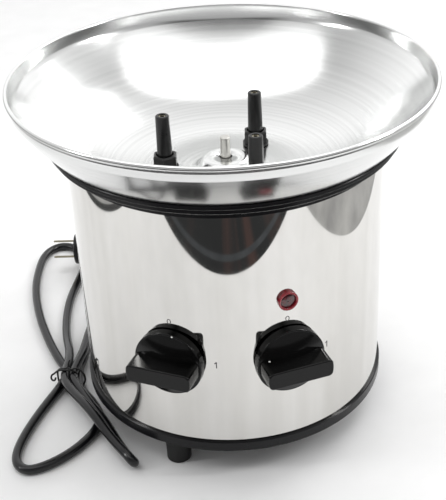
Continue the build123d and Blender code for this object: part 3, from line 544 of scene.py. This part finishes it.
def add_marks():
    """Noughts and ones printed on the drum, and a white dot on each knob."""
    ink_radius = DRUM_RADIUS + 0.06
    nought_height = KNOB_HEIGHT + 26.6
    one_height = KNOB_HEIGHT - 1.5
    one_turn = 16.0
    marks = []
    for name, angle in KNOB_ANGLES.items():
        nought = facing(angle, ink_radius, nought_height)
        marks.append((add_ring_mark(f"{name}_mark_0", 2.6, 3.6, 0.5, nought), "machine", "print_ink"))
        one = facing(angle + one_turn, ink_radius, one_height)
        marks.append((add_one_mark(f"{name}_mark_1", 4.4, 0.65, one), "machine", "print_ink"))
        offset, reach, lift = DOT_PLACES[name]
        spot = facing(angle, DRUM_RADIUS + reach, KNOB_HEIGHT)
        spot = spot @ Matrix.Translation(Vector((offset, lift, 0)) * MM)
        if name == "heat":
            spot = spot @ Matrix.Rotation(-math.pi / 2, 4, "X")
        marks.append((add_dot(f"{name}_knob_dot", 0.7, spot), f"{name}_knob", "white_paint"))
    for mark, body, finish in marks:
        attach(mark, body)
        dress(mark, finish)


# ---------------------------------------------------------------- studio
def stage_plane(name, low, high, height, material):
    corners = [(low[0], low[1]), (high[0], low[1]), (high[0], high[1]), (low[0], high[1])]
    verts = [(x, y, height) for x, y in corners]
    plane = add_mesh(name, verts, [(0, 1, 2, 3)], smooth=False)
    plane.data.materials.append(material)
    return plane


def add_area(name, place, aim, size, power, shape="RECTANGLE"):
    light = bpy.data.lights.new(name, "AREA")
    light.shape = shape
    light.size, light.size_y = size
    light.energy = power
    lamp = bpy.data.objects.new(name, light)
    bpy.context.scene.collection.objects.link(lamp)
    lamp.location = place
    lamp.rotation_euler = (Vector(aim) - Vector(place)).to_track_quat("-Z", "Y").to_euler()


def striped_wood(name):
    """Near-black table top with a few brown stripes running away from the machine."""
    material, nodes, links = new_material(name)
    stripes = add_noise(nodes, links, 1.0, (16, 0.6, 1), 3.0)
    colour = add_colours(nodes, links, stripes, (0.003, 0.004, 0.005), (0.042, 0.019, 0.015), 0.52, 0.72)
    links.new(colour, nodes["Principled BSDF"].inputs["Base Color"])
    nodes["Principled BSDF"].inputs["Roughness"].default_value = 0.6
    return material


def add_math(nodes, links, operation, *sources):
    step = nodes.new("ShaderNodeMath")
    step.operation = operation
    for socket, source in zip(step.inputs, sources):
        links.new(source, socket)
    return step.outputs["Value"]


def add_sky():
    """Soft surroundings, lighter behind the machine, with a dark patch high in front."""
    world = bpy.data.worlds.new("studio")
    bpy.context.scene.world = world
    world.use_nodes = True
    nodes, links = world.node_tree.nodes, world.node_tree.links
    place = nodes.new("ShaderNodeTexCoord")
    parts = nodes.new("ShaderNodeSeparateXYZ")
    links.new(place.outputs["Generated"], parts.inputs["Vector"])
    back = parts.outputs["Y"]
    base = add_ramp(nodes, links, back, 0.5, 1.25, -0.1, 0.75)
    aside = add_math(nodes, links, "ABSOLUTE", parts.outputs["X"])
    beside = add_ramp(nodes, links, aside, 0.0, 1.0, 0.35, 0.6)
    above = add_ramp(nodes, links, back, 0.0, 1.0, -0.58, -0.50)
    below = add_ramp(nodes, links, back, 1.0, 0.0, -0.78, -0.68)
    outside = add_math(nodes, links, "MAXIMUM", add_math(nodes, links, "MAXIMUM", beside, above), below)
    shade = add_ramp(nodes, links, outside, 0.06, 1.0, 0.0, 1.0)
    strength = add_math(nodes, links, "MULTIPLY", base, shade)
    links.new(strength, nodes["Background"].inputs["Strength"])
    nodes["Background"].inputs["Color"].default_value = (1, 1, 1, 1)


def add_table_cards():
    """The surroundings of the pale sheet, which only mirror reflections see."""
    dark = striped_wood("table_dark")
    shaded = surface(
        "table_shaded", (0.22, 0.22, 0.22), (0.46, 0.46, 0.45), (0.5, 0.6), scale=30, patches=9.0)
    trim = surface("table_trim", (0.022, 0.026, 0.030), (0.05, 0.055, 0.06), (0.5, 0.6), scale=30)
    trim_front = SHEET_FRONT - 0.033
    trim_back = SHEET_FRONT - 0.021
    left_trim = SHEET_LEFT - 0.015
    cards = {
        "table_front": ((-TABLE_REACH, -TABLE_REACH), (TABLE_REACH, trim_front), dark),
        "table_front_trim": ((-TABLE_REACH, trim_front), (TABLE_REACH, trim_back), trim),
        "table_front_edge": ((-TABLE_REACH, trim_back), (TABLE_REACH, SHEET_FRONT), dark),
        "table_right": ((SHEET_RIGHT, SHEET_FRONT), (TABLE_REACH, TABLE_BACK), shaded),
        "table_left": ((-TABLE_REACH, SHEET_FRONT), (left_trim, TABLE_BACK), shaded),
        "table_left_edge": ((left_trim, SHEET_FRONT), (SHEET_LEFT, TABLE_BACK), dark),
    }
    card_height = 0.0004
    for name, (low, high, material) in cards.items():
        card = stage_plane(name, low, high, card_height, material)
        card.visible_camera = False
        card.visible_diffuse = False
        card.visible_shadow = False


def add_studio():
    add_sky()
    paper = surface("paper", (0.86, 0.86, 0.86), (0.90, 0.90, 0.90), (0.7, 0.8), bump=0.02)
    stage_plane("floor", (-6, -6), (6, 6), 0, paper)
    add_table_cards()
    add_area("overhead", (0, -0.27, 1.7), (0, -0.27, 0), (2.9, 1.3), 12, "ELLIPSE")
    add_area("left_strip", (-1.1, -0.3, 0.75), (0, 0, 0.15), (0.07, 0.5), 2.5)
    add_area("right_strip", (1.1, -0.1, 0.8), (0, 0, 0.15), (0.07, 0.5), 3.5)
    add_area("back_right", (1.0, 1.1, 1.3), (0.1, 0, 0.1), (0.8, 0.8), 8)
    bpy.context.scene.view_settings.view_transform = "Standard"


dress_cad_nodes()
# The bezel takes the brighter red, whose extra brightness is a painted highlight.
dress(NODES["lamp_bezel"], "red_bezel_painted_highlight")
dress(mains_cord, "cord_black")
add_bowl()
add_drum()
add_marks()
add_tie()
add_studio()
bpy.context.view_layer.update()
